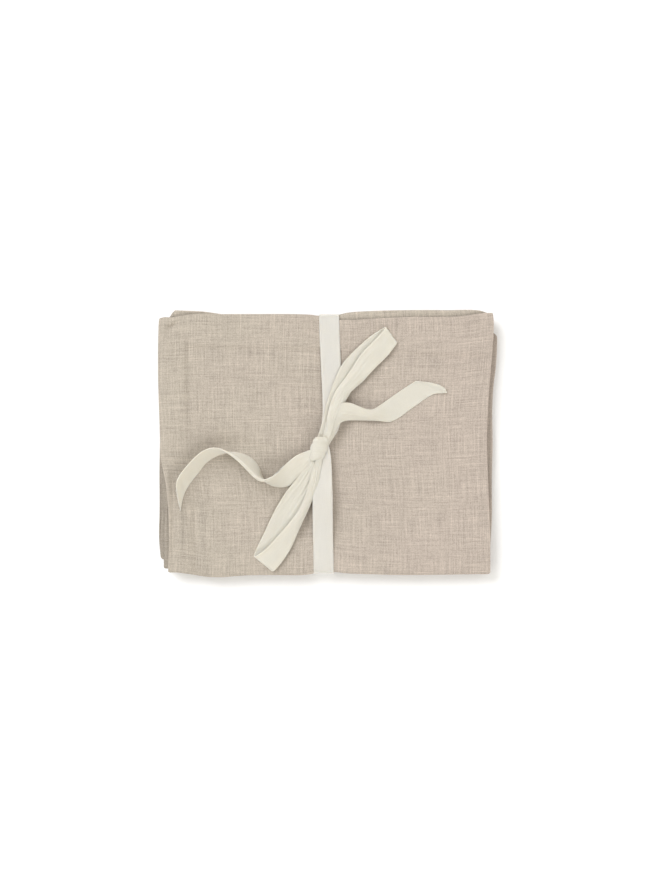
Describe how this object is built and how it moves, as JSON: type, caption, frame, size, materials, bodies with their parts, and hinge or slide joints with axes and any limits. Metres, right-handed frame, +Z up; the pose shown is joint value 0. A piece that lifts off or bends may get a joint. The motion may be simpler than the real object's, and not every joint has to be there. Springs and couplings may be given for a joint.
{
  "type": "tied set of folded linen cloths",
  "caption": "Stack of quarter-folded natural linen cloths held together by a flat cotton tape tied in a single bow.",
  "frame": {"origin": "middle of the underside of the whole object's box, on the surface it lies on", "axes": "+X along the stack's long side, +Y along its short side and the tape, +Z up through the stack towards the bow"},
  "size_m": [0.3386, 0.2672, 0.037],
  "materials": {
    "linen": "matt plain-weave linen with a slubby yarn",
    "cotton_tape": "matt unbleached cotton twill tape"
  },
  "bodies": {
    "root": {"linen_cloth_1": "linen", "linen_cloth_2": "linen", "linen_cloth_3": "linen", "linen_cloth_4": "linen", "tape_band": "cotton_tape", "tape_knot": "cotton_tape", "bow_loop_upper": "cotton_tape", "bow_loop_lower": "cotton_tape", "tape_tail_left": "cotton_tape", "tape_tail_right": "cotton_tape"}
  },
  "joints": []
}
